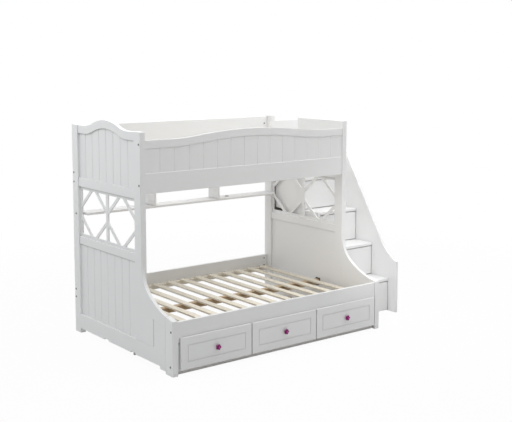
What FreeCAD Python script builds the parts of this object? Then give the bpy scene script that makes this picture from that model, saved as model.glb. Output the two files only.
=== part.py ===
"""A white bunk bed: a wide bed below, a narrower one above, three drawers under the front
and a flight of drawer steps at the right end. Each piece is an object of its own, and its
sizes come from the sheet."""

import FreeCAD
import Part
import math
import os
import Sketcher
from types import SimpleNamespace

# Driving dimensions in millimetres. X runs along the bed, Y to its back and Z up.
SIZES = {
    # The whole bed
    "bed_length": "2000",
    "bed_depth": "1460",
    "post_height": "1684",
    "upper_setback": "408",
    "edge_round": "3",
    "seat_gap": "0.3",
    "cut_overrun": "5",
    # Posts and legs
    "end_thick": "45",
    "post_width": "90",
    "leg_width": "95",
    "leg_front_height": "395",
    "leg_back_height": "414",
    # Curved braces between the legs and the posts
    "brace_thick": "27",
    "brace_bend_reach": "300",
    "brace_bend_height": "513",
    "brace_top": "720",
    "brace_low_radius": "690",
    "brace_high_radius": "252",
    "field_margin": "14",
    "field_width": "146",
    "field_front_height": "332",
    "field_back_height": "361",
    "field_depth": "4",
    # Rails and panels of the two ends
    "rail_inset": "6",
    "panel_inset": "16",
    "bottom_rail_level": "38",
    "bottom_rail_height": "120",
    "bottom_step_width": "75",
    "bottom_step_drop": "20",
    "notch_width": "64",
    "notch_height": "11",
    "notch_front_place": "512",
    "notch_back_place": "918",
    "sill_height": "62",
    "window_height": "401",
    "mid_rail_drop": "489",
    "mid_rail_height": "70",
    "top_rail_height": "61",
    "top_rail_drop": "4",
    "gate_rail_height": "104",
    "crown_rise": "61",
    "crown_half_share": "0.367",
    "crown_bend_share": "0.36",
    "gate_width": "370",
    "gate_stile_width": "75",
    "groove_width": "8",
    "groove_depth": "4",
    # Lattice windows
    "window_inset": "18",
    "lattice_inset": "18",
    "frame_bar": "23",
    "mullion_width": "36",
    "lattice_bar": "25",
    "lattice_top_spread": "41",
    "lattice_side_spread": "46",
    # Guard rails of the upper bed
    "guard_inset": "5",
    "guard_thick": "24",
    "guard_drop": "449",
    "guard_rail_height": "148",
    "guard_top_drop": "118",
    "guard_top_height": "55",
    "guard_panel_inset": "6",
    "guard_panel_thick": "12",
    "guard_crown_rise": "46",
    "guard_half_share": "0.3743",
    "guard_bend_share": "0.3",
    "back_inset": "10",
    "back_guard_drop": "11",
    # Side rails, slats and beam
    "side_rail_inset": "8",
    "side_rail_thick": "24",
    "side_rail_level": "236",
    "side_rail_top": "386",
    "slat_width": "55",
    "slat_thick": "13",
    "slat_first_gap": "63.5",
    "lower_slat_top": "297",
    "lower_slat_back_gap": "26",
    "upper_slat_drop": "384",
    "slat_end_gap": "2",
    "ledger_depth": "45",
    "ledger_height": "30",
    "beam_size": "45",
    "beam_offset": "5",
    "beam_leg_size": "44",
    "beam_leg_share": "0.32",
    "bracket_thick": "3",
    "bracket_width": "56",
    "bracket_height": "58",
    "bracket_reach": "40",
    # Back shelf
    "shelf_depth": "150",
    "shelf_thick": "17",
    "shelf_drop": "232",
    "shelf_back_inset": "5",
    "hanger_thick": "18",
    "hanger_share": "0.162",
    # Drawers under the bed
    "drawer_margin": "62",
    "drawer_gap": "8",
    "drawer_level": "37",
    "drawer_height": "235",
    "drawer_front_thick": "16",
    "drawer_front_round": "5",
    "drawer_front_gap": "2",
    "drawer_groove_inset": "55",
    "drawer_groove_width": "7",
    "drawer_groove_depth": "3",
    "drawer_box_inset": "34",
    "drawer_box_back_room": "74",
    "drawer_box_height": "176",
    "drawer_wall": "12",
    "drawer_bottom": "8",
    "knob_height": "28",
    "knob_stem_radius": "7",
    "knob_petal_level": "16",
    "knob_petal_radius": "9",
    "knob_petal_reach": "12.5",
    "knob_eye_radius": "9.5",
    "base_board_inset": "12",
    "toe_board_setback": "24",
    "base_board_thick": "18",
    "base_board_height": "30",
    "base_rear_gap": "85",
    "corner_block_width": "36",
    "runner_thick": "12",
    "runner_width": "30",
    "runner_guide_height": "26",
    "runner_clearance": "2",
    # Drawer steps
    "stair_width": "476",
    "stair_side_thick": "20",
    "stair_first_riser": "349",
    "landing_depth": "473",
    "stair_first_tread": "290",
    "landing_drop": "53",
    "tread_thick": "26",
    "tread_round": "5",
    "tread_nosing": "4",
    "tread_tuck": "30",
    "step_drawer_gap": "5",
    "step_front_thick": "18",
    "step_box_inset": "14",
    "step_box_back_room": "35",
    "step_box_head_room": "24",
    "step_runner_width": "30",
    "step_runner_height": "10",
    "outer_side_front": "250",
    "outer_side_nose": "22",
    "outer_side_nose_height": "452",
    "outer_side_bend_place": "470",
    "outer_side_bend_height": "661",
    "outer_side_bend_radius": "450",
    "outer_side_head_depth": "374",
    "outer_side_drop": "57",
    "inner_side_back_gap": "108",
    "inner_side_cut_depth": "97",
    "inner_side_cut_height": "836",
    "stair_back_thick": "20",
    # Bolts through the posts
    "bolt_radius": "4",
    "bolt_head_radius": "8",
    "bolt_head_top_radius": "6.8",
    "bolt_head_height": "3",
    "bolt_socket_radius": "3",
    "bolt_socket_depth": "2",
    "bolt_grip": "34",
    "bolt_clearance": "0.3",
    "leg_bolt_low": "66",
    "leg_bolt_high": "318",
    "guard_bolt_rise": "64",
    "guard_top_bolt_rise": "29",
    "back_bolt_lowest": "287",
    "back_bolt_low": "352",
    "back_bolt_rise": "30",
    "back_bolt_spread": "75",
    "shelf_bolt_setback": "28",
}

SLAT_COUNT = 13
GUARD_BOARDS = 15
END_BOARDS = 8
PETALS = 5
STEPS = 4
UNDER_BED_DRAWERS = ("left", "middle", "right")

doc = FreeCAD.newDocument("BunkBed")
sheet = doc.addObject("Spreadsheet::Sheet", "Sizes")
for row, (alias, number) in enumerate(SIZES.items(), start=1):
    sheet.set(f"A{row}", alias)
    sheet.set(f"B{row}", number)
    sheet.setAlias(f"B{row}", alias)
doc.recompute()


class Measure:
    """A length with its number and the formula that gives it from the sheet."""

    def __init__(self, number, formula):
        self.number = number
        self.formula = formula

    def __add__(self, other):
        other = measure(other)
        return Measure(self.number + other.number, f"({self.formula} + {other.formula})")

    def __sub__(self, other):
        other = measure(other)
        return Measure(self.number - other.number, f"({self.formula} - {other.formula})")

    def __mul__(self, other):
        other = measure(other)
        return Measure(self.number * other.number, f"({self.formula} * {other.formula})")

    def __truediv__(self, other):
        other = measure(other)
        return Measure(self.number / other.number, f"({self.formula} / {other.formula})")

    def __radd__(self, other):
        return measure(other) + self

    def __rsub__(self, other):
        return measure(other) - self

    def __rmul__(self, other):
        return measure(other) * self


def measure(value):
    """Takes a plain count as a measure too."""
    if isinstance(value, Measure):
        return value
    return Measure(float(value), str(value))


def root(value):
    return Measure(math.sqrt(value.number), f"sqrt({value.formula})")


size = SimpleNamespace(**{alias: Measure(float(text), f"Sizes.{alias}") for alias, text in SIZES.items()})
ZERO = measure(0)

# Places that several pieces share
front_reach = size.knob_height + size.drawer_front_thick + size.drawer_front_gap - size.side_rail_inset
middle_x = (size.bed_length + size.stair_width - size.bolt_head_height) / 2
middle_y = (size.bed_depth - front_reach) / 2
post_front = size.upper_setback
post_back = post_front + size.post_width
back_post = size.bed_depth - size.post_width
bottom_rail_top = size.bottom_rail_level + size.bottom_rail_height
mid_rail_level = size.post_height - size.mid_rail_drop
mid_rail_top = mid_rail_level + size.mid_rail_height
sill_top = mid_rail_level - size.window_height
sill_level = sill_top - size.sill_height
guard_level = size.post_height - size.guard_drop
guard_top_level = size.post_height - size.guard_top_drop
shelf_level = mid_rail_level - size.shelf_drop
rail_thick = size.end_thick - 2 * size.rail_inset
panel_thick = size.end_thick - 2 * size.panel_inset
clear_length = size.bed_length - 2 * size.end_thick
right_inside = size.bed_length - size.end_thick
back_rail_face = size.bed_depth - size.back_inset - size.guard_thick
guard_face = post_front + size.guard_inset
end_span = back_post - post_back
board_width = end_span / END_BOARDS
gate_stile = back_post - size.gate_width - size.gate_stile_width
beam_place = size.bed_depth / 2 - size.beam_offset
base_rear = beam_place - size.beam_leg_size / 2 - size.base_rear_gap - size.base_board_thick


def bind(item, **formulas):
    for name, value in formulas.items():
        item.setExpression(name, value.formula)


def place(item, x, y, z):
    """Sets a piece in the part's frame, whose origin is under the middle of the bed."""
    item.setExpression("Placement.Base.x", (x - middle_x).formula)
    item.setExpression("Placement.Base.y", (y - middle_y).formula)
    item.setExpression("Placement.Base.z", z.formula)


def new_body(name):
    body = doc.addObject("PartDesign::Body", name)
    body.Label = name
    return body


def origin_feature(body, role):
    return next(item for item in body.Origin.OriginFeatures if item.Role == role)


def sketch_on(body, role, name, lift=None):
    sketch = body.newObject("Sketcher::SketchObject", name)
    sketch.AttachmentSupport = (origin_feature(body, role), [""])
    sketch.MapMode = "FlatFace"
    if lift is not None:
        sketch.setExpression("AttachmentOffset.Base.z", lift.formula)
    return sketch


def bowed(start, end, radius):
    """An arc between two points: it turns left for a positive radius, right for a negative one."""
    chord = end - start
    bow = abs(radius) - math.sqrt(radius * radius - chord.Length * chord.Length / 4)
    aside = FreeCAD.Vector(chord.y, -chord.x, 0).normalize()
    crest = (start + end) / 2 + aside * math.copysign(bow, radius)
    return Part.Arc(start, crest, end)


def outline(sketch, corners):
    """Draws a closed outline. A corner is (across, up) or (across, up, turn, radius), where the
    turn of 1 or -1 and the radius belong to the arc that leads to the next corner."""
    points = [FreeCAD.Vector(corner[0].number, corner[1].number, 0) for corner in corners]
    following = points[1:] + points[:1]
    pieces = []
    for corner, start, end in zip(corners, points, following):
        if len(corner) == 2:
            curve = Part.LineSegment(start, end)
        else:
            curve = bowed(start, end, corner[2] * corner[3].number)
        pieces.append(sketch.addGeometry(curve))
    starts = []
    ends = []
    for piece, point in zip(pieces, points):
        begins = sketch.getPoint(piece, 1).distanceToPoint(point)
        finishes = sketch.getPoint(piece, 2).distanceToPoint(point)
        starts.append(1 if begins < finishes else 2)
        ends.append(3 - starts[-1])
    for index, corner in enumerate(corners):
        piece, spot = pieces[index], starts[index]
        previous = pieces[index - 1], ends[index - 1]
        sketch.addConstraint(Sketcher.Constraint("Coincident", *previous, piece, spot))
        for kind, axis, value in (("DistanceX", -2, corner[0]), ("DistanceY", -1, corner[1])):
            if value.formula == ZERO.formula:
                sketch.addConstraint(Sketcher.Constraint("PointOnObject", piece, spot, axis))
            else:
                number = sketch.addConstraint(Sketcher.Constraint(kind, piece, spot, value.number))
                sketch.setExpression(f"Constraints[{number}]", value.formula)
        if len(corner) > 2:
            number = sketch.addConstraint(Sketcher.Constraint("Radius", piece, corner[3].number))
            sketch.setExpression(f"Constraints[{number}]", corner[3].formula)


def rectangle(sketch, left, low, right, high):
    outline(sketch, [(left, low), (right, low), (right, high), (left, high)])


def pad(body, sketch, length, reverse=False):
    feature = body.newObject("PartDesign::Pad", sketch.Name + "_pad")
    feature.Profile = sketch
    feature.Reversed = reverse
    bind(feature, Length=length)
    body.Tip = feature
    return feature


def pocket(body, sketch, depth=None, reverse=False):
    feature = body.newObject("PartDesign::Pocket", sketch.Name + "_cut")
    feature.Profile = sketch
    feature.Reversed = reverse
    if depth is None:
        feature.Type = "ThroughAll"
    else:
        bind(feature, Length=depth)
    body.Tip = feature
    return feature


def round_edges(body, radius=size.edge_round):
    doc.recompute()
    sharp = body.Tip
    feature = body.newObject("PartDesign::Fillet", body.Name + "_edges")
    feature.Base = (sharp, [""])
    feature.UseAllEdges = True
    bind(feature, Radius=radius)
    body.Tip = feature


def repeat(body, original, role, count, pitch):
    feature = body.newObject("PartDesign::LinearPattern", original.Name + "_row")
    feature.Originals = [original]
    feature.Direction = (origin_feature(body, role), [""])
    bind(feature, Length=pitch * (count - 1))
    body.Tip = feature
    feature.Occurrences = count


def board(name, corner, extent, rounded=True, ease=size.edge_round):
    """A straight board with eased edges, from its low corner and its extent."""
    body = new_body(name)
    block = body.newObject("PartDesign::AdditiveBox", name + "_block")
    bind(block, Length=extent[0], Width=extent[1], Height=extent[2])
    body.Tip = block
    if rounded:
        round_edges(body, ease)
    place(body, *corner)
    return body


def group(name, members):
    """Several loose solids under one name."""
    cluster = doc.addObject("Part::Compound", name)
    cluster.Label = name
    cluster.Links = members
    return cluster


def bolted(name, blank, bores):
    """Drills the bolt holes through a piece, each from (x, y, z) along X."""
    blank.Label = name + "_blank"
    drills = []
    for index, (x, y, z, length) in enumerate(bores, start=1):
        drill = doc.addObject("Part::Cylinder", f"{name}_drill_{index}")
        turn_along_x(drill)
        bind(drill, Radius=size.bolt_radius + size.bolt_clearance, Height=length)
        place(drill, x, y, z)
        drills.append(drill)
    piece = doc.addObject("Part::Cut", name)
    piece.Label = name
    piece.Base = blank
    piece.Tool = group(name + "_drills", drills)
    return piece


def turn_along_x(item):
    quarter = FreeCAD.Rotation(FreeCAD.Vector(0, 1, 0), 90)
    item.Placement = FreeCAD.Placement(FreeCAD.Vector(), quarter)


def wave_over(middle, level, half, rise, share):
    """A crown with a hollow bend at either foot, from its far foot to its near one."""
    whole = (half * half + rise * rise) / (2 * rise)
    foot = whole * share
    crest = whole * (1 - share)
    shoulder = half - half * share
    return [
        (middle + half, level, -1, foot),
        (middle + shoulder, level + rise * share, 1, crest),
        (middle - shoulder, level + rise * share, -1, foot),
        (middle - half, level),
    ]


def wave_under(middle, level, half, rise, share):
    """The same crown as an underside, from its near foot to its far one."""
    there = wave_over(middle, level, half, rise, share)
    back = [corner[:2] for corner in reversed(there)]
    arcs = [corner[2:] for corner in reversed(there[:-1])]
    bends = [corner + (-arc[0], arc[1]) for corner, arc in zip(back, arcs)]
    return bends + back[-1:]


def cut_grooves(body, face, inward, start, count, pitch, along):
    """Cuts upright V grooves into a panel's show face, from the first one's middle on."""
    name = body.Name + "_groove"
    sketch = sketch_on(body, "XY_Plane", name)
    near = start - size.groove_width / 2
    far = start + size.groove_width / 2
    root_line = face + inward * size.groove_depth
    points = [(face, near), (root_line, start), (face, far)]
    if along == "X_Axis":
        points = [(place_along, depth) for depth, place_along in points]
    outline(sketch, points)
    doc.recompute()
    groove = pocket(body, sketch, reverse=True)
    doc.recompute()
    repeat(body, groove, along, count, pitch)


# Bolt places on the outer face of a post, as (y, z)
front_rail_line = size.side_rail_inset + size.side_rail_thick / 2
guard_line = guard_face + size.guard_thick / 2
back_line = back_rail_face + size.guard_thick / 2
block_line = size.base_board_inset + size.corner_block_width / 2
shelf_line = shelf_level + size.shelf_thick / 2
LEG_BOLTS = [(block_line, size.leg_bolt_low), (front_rail_line, size.leg_bolt_high)]
guard_bolt = guard_level + size.guard_bolt_rise
guard_top_bolt = guard_top_level + size.guard_top_bolt_rise
back_bolt = mid_rail_level + size.back_bolt_rise
POST_BOLTS = [(guard_line, guard_bolt), (guard_line, guard_top_bolt)]
LOW_BACK_BOLTS = [(back_line, size.back_bolt_lowest), (back_line, size.back_bolt_low)]
HIGH_BACK_BOLTS = [(back_line, back_bolt), (back_line, back_bolt + size.back_bolt_spread)]
SHELF_BOLTS = [(back_line - size.shelf_bolt_setback, shelf_line)]


def through_post(outer, places):
    return [(outer, y, z, size.end_thick) for y, z in places]


def into_both_ends(places):
    left = [(size.end_thick, y, z, size.bolt_grip) for y, z in places]
    right = [(right_inside - size.bolt_grip, y, z, size.bolt_grip) for y, z in places]
    return left + right


def build_window(name, outer):
    """A framed window with a mullion and four slanting bars in each half."""
    thick = size.end_thick - 2 * size.window_inset
    low, high = sill_top, mid_rail_level
    inner_low, inner_high = low + size.frame_bar, high - size.frame_bar
    centre = (post_back + back_post) / 2
    halves = [
        (post_back + size.frame_bar, centre - size.mullion_width / 2),
        (centre + size.mullion_width / 2, back_post - size.frame_bar),
    ]
    body = new_body(name)
    frame = sketch_on(body, "YZ_Plane", name + "_frame")
    rectangle(frame, post_back, low, back_post, high)
    for near, far in halves:
        rectangle(frame, near, inner_low, far, inner_high)
    pad(body, frame, thick)
    bars = sketch_on(body, "YZ_Plane", name + "_bars", size.lattice_inset - size.window_inset)
    waist = (inner_low + inner_high) / 2
    for near, far in halves:
        middle = (near + far) / 2
        for side, jamb in ((-1, near), (1, far)):
            for rise, edge in ((-1, inner_low), (1, inner_high)):
                slanting_bar(bars, middle, waist, side, jamb, rise, edge)
    pad(body, bars, size.end_thick - 2 * size.lattice_inset)
    place(body, outer + size.window_inset, ZERO, ZERO)
    return body


def slanting_bar(sketch, middle, waist, side, jamb, rise, edge):
    """One bar from the jamb to the head or the sill, cut to lie flat on both."""
    head = middle + side * size.lattice_top_spread
    foot = waist + rise * size.lattice_side_spread
    run = (jamb - head) * side
    drop = (edge - foot) * rise
    slant = root(run * run + drop * drop)
    half_flat = size.lattice_bar * slant / drop / 2
    half_upright = size.lattice_bar * slant / run / 2
    outline(sketch, [
        (head - side * half_flat, edge),
        (head + side * half_flat, edge),
        (jamb, foot + rise * half_upright),
        (jamb, foot - rise * half_upright),
    ])


def build_leg(name, outer):
    body = new_body(name)
    sketch = sketch_on(body, "YZ_Plane", name + "_outline")
    outline(sketch, [
        (ZERO, ZERO),
        (size.leg_width, ZERO),
        (size.leg_width, size.leg_back_height),
        (ZERO, size.leg_front_height),
    ])
    pad(body, sketch, size.end_thick)
    round_edges(body)
    place(body, outer, ZERO, ZERO)
    return bolted(name, body, through_post(outer, LEG_BOLTS))


def build_brace(name, outer, shown_left):
    """The curved board from the leg up to the post, with a sunk field on its show face."""
    body = new_body(name)
    sketch = sketch_on(body, "YZ_Plane", name + "_outline")
    outline(sketch, [
        (size.leg_width, bottom_rail_top),
        (post_front, bottom_rail_top),
        (post_front, size.brace_top, -1, size.brace_high_radius),
        (size.brace_bend_reach, size.brace_bend_height, -1, size.brace_low_radius),
        (size.leg_width, size.leg_back_height),
    ])
    pad(body, sketch, size.brace_thick)
    lift = None if shown_left else size.brace_thick
    field = sketch_on(body, "YZ_Plane", name + "_field", lift)
    near = size.leg_width + size.field_margin
    far = near + size.field_width
    outline(field, [
        (near, bottom_rail_top),
        (far, bottom_rail_top),
        (far, size.field_back_height),
        (near, size.field_front_height),
    ])
    pocket(body, field, size.field_depth, reverse=shown_left)
    place(body, outer, ZERO, ZERO)
    return body


def build_bottom_rail(name, outer):
    body = new_body(name)
    sketch = sketch_on(body, "YZ_Plane", name + "_outline")
    low = size.bottom_rail_level
    step = size.leg_width + size.bottom_step_width
    bottom = [(size.leg_width, low - size.bottom_step_drop), (step, low - size.bottom_step_drop), (step, low)]
    for notch in (size.notch_front_place, size.notch_back_place):
        raised = low + size.notch_height
        bottom += [(notch, low), (notch, raised)]
        bottom += [(notch + size.notch_width, raised), (notch + size.notch_width, low)]
    top = [(back_post, low), (back_post, bottom_rail_top), (size.leg_width, bottom_rail_top)]
    outline(sketch, bottom + top)
    pad(body, sketch, size.end_thick)
    round_edges(body)
    place(body, outer, ZERO, ZERO)
    return body


def build_boarded_panel(name, outer, shown_left, corners, far):
    """A boarded panel of an end, with its grooves on the outer face."""
    body = new_body(name)
    sketch = sketch_on(body, "YZ_Plane", name + "_outline")
    outline(sketch, corners)
    pad(body, sketch, panel_thick)
    face = ZERO if shown_left else panel_thick
    inward = 1 if shown_left else -1
    count = max(1, round((far - post_back).number / board_width.number) - 1)
    cut_grooves(body, face, inward, post_back + board_width, count, board_width, "Y_Axis")
    place(body, outer + size.panel_inset, ZERO, ZERO)
    return body


def plain_panel(low, far, high):
    return [(post_back, low), (far, low), (far, high), (post_back, high)]


def build_end_frame(side, outer):
    """The pieces that both ends of the bed have."""
    shown_left = side == "left"
    back_bores = through_post(outer, LOW_BACK_BOLTS + HIGH_BACK_BOLTS + SHELF_BOLTS)
    post = [size.end_thick, size.post_width, size.post_height]
    upper_post = [size.end_thick, size.post_width, size.post_height - bottom_rail_top]
    rail_start = outer + size.rail_inset
    back_blank = board(f"{side}_back_post_blank", (outer, back_post, ZERO), post)
    front_blank = board(f"{side}_front_post_blank", (outer, post_front, bottom_rail_top), upper_post)
    sill = board(
        f"{side}_sill",
        (rail_start, post_back, sill_level),
        (rail_thick, end_span, size.sill_height),
    )
    middle = board(
        f"{side}_middle_rail",
        (rail_start, post_back, mid_rail_level),
        (rail_thick, end_span, size.mid_rail_height),
    )
    lower = plain_panel(bottom_rail_top, back_post, sill_level)
    return [
        bolted(f"{side}_back_post", back_blank, back_bores),
        bolted(f"{side}_front_post", front_blank, through_post(outer, POST_BOLTS)),
        build_leg(f"{side}_front_leg", outer),
        build_brace(f"{side}_curved_brace", outer, shown_left),
        build_bottom_rail(f"{side}_bottom_rail", outer),
        group(f"{side}_cross_rails", [sill, middle]),
        build_window(f"{side}_window_lattice", outer),
        build_boarded_panel(f"{side}_lower_panel", outer, shown_left, lower, back_post),
    ]


def build_left_head():
    """The crowned top of the left end."""
    name = "left_top_rail"
    top = size.post_height - size.top_rail_drop
    low = top - size.top_rail_height
    centre = (post_back + back_post) / 2
    wave = (end_span * size.crown_half_share, size.crown_rise, size.crown_bend_share)
    body = new_body(name)
    sketch = sketch_on(body, "YZ_Plane", name + "_outline")
    under = wave_under(centre, low, *wave)
    over = wave_over(centre, top, *wave)
    outline(
        sketch,
        [(post_back, low)] + under + [(back_post, low), (back_post, top)] + over + [(post_back, top)],
    )
    pad(body, sketch, rail_thick)
    place(body, size.rail_inset, ZERO, ZERO)
    seat = low - size.seat_gap
    shape = [(post_back, mid_rail_top), (back_post, mid_rail_top), (back_post, seat)]
    shape += wave_over(centre, seat, *wave) + [(post_back, seat)]
    panel = build_boarded_panel("left_upper_panel", ZERO, True, shape, back_post)
    return [body, panel]


def build_right_head():
    """The guard beside the way in from the steps."""
    low = size.post_height - size.gate_rail_height
    outer = right_inside
    rail_start = outer + size.rail_inset
    gate = gate_stile
    rail = board(
        "right_top_rail",
        (rail_start, post_back, low),
        (rail_thick, gate - post_back, size.gate_rail_height),
    )
    stile = board(
        "right_gate_stile",
        (rail_start, gate, mid_rail_top),
        (rail_thick, size.gate_stile_width, size.post_height - mid_rail_top),
    )
    panel = build_boarded_panel("right_upper_panel", outer, False, plain_panel(mid_rail_top, gate, low), gate)
    return [rail, stile, panel]


def build_front_guard():
    """The boarded guard along the front of the upper bed."""
    panel_low = guard_level + size.guard_rail_height
    centre = clear_length / 2
    wave = (clear_length * size.guard_half_share, size.guard_crown_rise, size.guard_bend_share)
    low, high = guard_top_level, guard_top_level + size.guard_top_height
    rail_blank = board(
        "front_guard_bottom_rail_blank",
        (size.end_thick, guard_face, guard_level),
        (clear_length, size.guard_thick, size.guard_rail_height),
    )
    rail_bolts = into_both_ends([(guard_line, guard_bolt)])
    top_blank = new_body("front_guard_top_rail_blank")
    sketch = sketch_on(top_blank, "XZ_Plane", "front_guard_top_outline")
    under = wave_under(centre, low, *wave)
    over = wave_over(centre, high, *wave)
    outline(
        sketch,
        [(ZERO, low)] + under + [(clear_length, low), (clear_length, high)] + over + [(ZERO, high)],
    )
    pad(top_blank, sketch, size.guard_thick, reverse=True)
    place(top_blank, size.end_thick, guard_face, ZERO)
    panel = new_body("front_guard_panel")
    field = sketch_on(panel, "XZ_Plane", "front_guard_panel_outline")
    seat = low - size.seat_gap
    shape = [(ZERO, panel_low), (clear_length, panel_low), (clear_length, seat)]
    outline(field, shape + wave_over(centre, seat, *wave) + [(ZERO, seat)])
    pad(panel, field, size.guard_panel_thick, reverse=True)
    width = clear_length / GUARD_BOARDS
    cut_grooves(panel, ZERO, 1, width, GUARD_BOARDS - 1, width, "X_Axis")
    place(panel, size.end_thick, guard_face + size.guard_panel_inset, ZERO)
    return [
        bolted("front_guard_bottom_rail", rail_blank, rail_bolts),
        bolted("front_guard_top_rail", top_blank, into_both_ends([(guard_line, guard_top_bolt)])),
        panel,
    ]


def build_side_rails():
    """The long boards that tie the two ends together."""
    rail_height = size.side_rail_top - size.side_rail_level
    rail = (clear_length, size.side_rail_thick, rail_height)
    front_corner = (size.end_thick, size.side_rail_inset, size.side_rail_level)
    front = board("lower_front_rail_blank", front_corner, rail)
    back = board("lower_back_rail_blank", (size.end_thick, back_rail_face, size.side_rail_level), rail)
    guard_height = size.post_height - size.back_guard_drop - mid_rail_level
    guard = board(
        "back_guard_blank",
        (size.end_thick, back_rail_face, mid_rail_level),
        (clear_length, size.guard_thick, guard_height),
    )
    return [
        bolted("lower_front_rail", front, into_both_ends([(front_rail_line, size.leg_bolt_high)])),
        bolted("lower_back_rail", back, into_both_ends(LOW_BACK_BOLTS)),
        bolted("back_guard", guard, into_both_ends(HIGH_BACK_BOLTS)),
    ]


def build_slats(name, near, far, top):
    """One row of bed slats across the bed."""
    pitch = (clear_length - 2 * size.slat_first_gap - size.slat_width) / (SLAT_COUNT - 1)
    body = new_body(name)
    block = body.newObject("PartDesign::AdditiveBox", name + "_block")
    bind(block, Length=size.slat_width, Width=far - near, Height=size.slat_thick)
    body.Tip = block
    doc.recompute()
    repeat(body, block, "X_Axis", SLAT_COUNT, pitch)
    place(body, size.end_thick + size.slat_first_gap, near, top - size.slat_thick)
    return body


def build_decks():
    """Slats, the ledgers that they lie on, and the beam under the wide deck."""
    front_inside = size.side_rail_inset + size.side_rail_thick
    upper_inside = guard_face + size.guard_thick
    lower_top = size.lower_slat_top - size.slat_thick
    upper_deck = size.post_height - size.upper_slat_drop
    upper_top = upper_deck - size.slat_thick
    strip = (clear_length, size.ledger_depth, size.ledger_height)
    ledgers = []
    for label, y, top in (
        ("lower_front", front_inside, lower_top),
        ("lower_back", back_rail_face - size.ledger_depth, lower_top),
        ("upper_front", upper_inside, upper_top),
        ("upper_back", back_rail_face - size.ledger_depth, upper_top),
    ):
        corner = (size.end_thick, y, top - size.ledger_height)
        ledgers.append(board(f"{label}_ledger", corner, strip, rounded=False))
    lower = build_slats(
        "lower_slats",
        front_inside + size.slat_end_gap,
        back_rail_face - size.lower_slat_back_gap,
        size.lower_slat_top,
    )
    upper = build_slats(
        "upper_slats",
        upper_inside + size.slat_end_gap,
        back_rail_face - size.slat_end_gap,
        upper_deck,
    )
    return [lower, upper, group("slat_ledgers", ledgers)] + build_beam(lower_top)


def build_beam(top):
    """The beam under the wide deck, its legs and the angles that hold its ends."""
    low = top - size.beam_size
    near = beam_place - size.beam_size / 2
    wall = size.panel_inset - size.bracket_thick
    start = size.end_thick - wall
    beam = board(
        "centre_beam",
        (start, near, low),
        (size.bed_length - 2 * start, size.beam_size, size.beam_size),
    )
    legs = []
    for label, turn in (("left", -1), ("right", 1)):
        x = size.bed_length / 2 + turn * size.bed_length * size.beam_leg_share - size.beam_leg_size / 2
        y = beam_place - size.beam_leg_size / 2
        extent = (size.beam_leg_size, size.beam_leg_size, low)
        legs.append(board(f"{label}_centre_beam_leg", (x, y, ZERO), extent))
    angles = []
    for side, face, turn in (("left", start - size.bracket_thick, 1), ("right", size.bed_length - start, -1)):
        angles.append(build_bracket(f"{side}_beam_bracket", face, turn, low))
    return [beam, group("centre_beam_legs", legs), group("beam_brackets", angles)]


def build_bracket(name, face, turn, level):
    """A bent steel angle: a plate on the end panel and a lip under the beam."""
    thick, reach = size.bracket_thick, size.bracket_reach
    low = level - thick
    high = low + size.bracket_height
    wall = (ZERO, thick)
    lip = reach
    offset = face
    if turn < 0:
        wall = (reach - thick, reach)
        offset = face + thick - reach
    body = new_body(name)
    sketch = sketch_on(body, "XZ_Plane", name + "_outline")
    if turn > 0:
        corners = [(ZERO, low), (lip, low), (lip, level), (wall[1], level), (wall[1], high), (ZERO, high)]
    else:
        corners = [(ZERO, low), (lip, low), (lip, high), (wall[0], high), (wall[0], level), (ZERO, level)]
    outline(sketch, corners)
    pad(body, sketch, size.bracket_width, reverse=True)
    place(body, offset, beam_place - size.bracket_width / 2, ZERO)
    return body


def build_shelf():
    """The long shelf over the lower bed and the boards that hang it from the back guard."""
    near = size.bed_depth - size.shelf_back_inset - size.shelf_depth
    blank = board(
        "back_shelf_blank",
        (size.end_thick, near, shelf_level),
        (clear_length, size.shelf_depth, size.shelf_thick),
    )
    low = shelf_level + size.shelf_thick
    hangers = []
    for label, turn in (("left", -1), ("right", 1)):
        x = size.bed_length / 2 + turn * size.bed_length * size.hanger_share - size.hanger_thick / 2
        extent = (size.hanger_thick, size.shelf_depth, mid_rail_level - low)
        hangers.append(board(f"{label}_shelf_hanger", (x, near, low), extent))
    shelf = bolted("back_shelf", blank, into_both_ends(SHELF_BOLTS))
    return [shelf, group("shelf_hangers", hangers)]


def tray(name, corner, extent):
    """An open drawer box."""
    length, width, height = extent
    body = new_body(name)
    block = body.newObject("PartDesign::AdditiveBox", name + "_block")
    bind(block, Length=length, Width=width, Height=height)
    body.Tip = block
    hollow = body.newObject("PartDesign::SubtractiveBox", name + "_hollow")
    bind(
        hollow,
        Length=length - 2 * size.drawer_wall,
        Width=width - 2 * size.drawer_wall,
        Height=height - size.drawer_bottom + size.cut_overrun,
    )
    hollow.setExpression("Placement.Base.x", size.drawer_wall.formula)
    hollow.setExpression("Placement.Base.y", size.drawer_wall.formula)
    hollow.setExpression("Placement.Base.z", size.drawer_bottom.formula)
    body.Tip = hollow
    place(body, *corner)
    return body


def drawer_front(name, corner, extent):
    """A drawer front with a routed line round its face."""
    length, width, height = extent
    body = board(name, corner, extent, ease=size.drawer_front_round)
    sketch = sketch_on(body, "XZ_Plane", name + "_line")
    for inset in (size.drawer_groove_inset, size.drawer_groove_inset + size.drawer_groove_width):
        rectangle(sketch, inset, inset, length - inset, height - inset)
    pocket(body, sketch, size.drawer_groove_depth)
    return body


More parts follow.
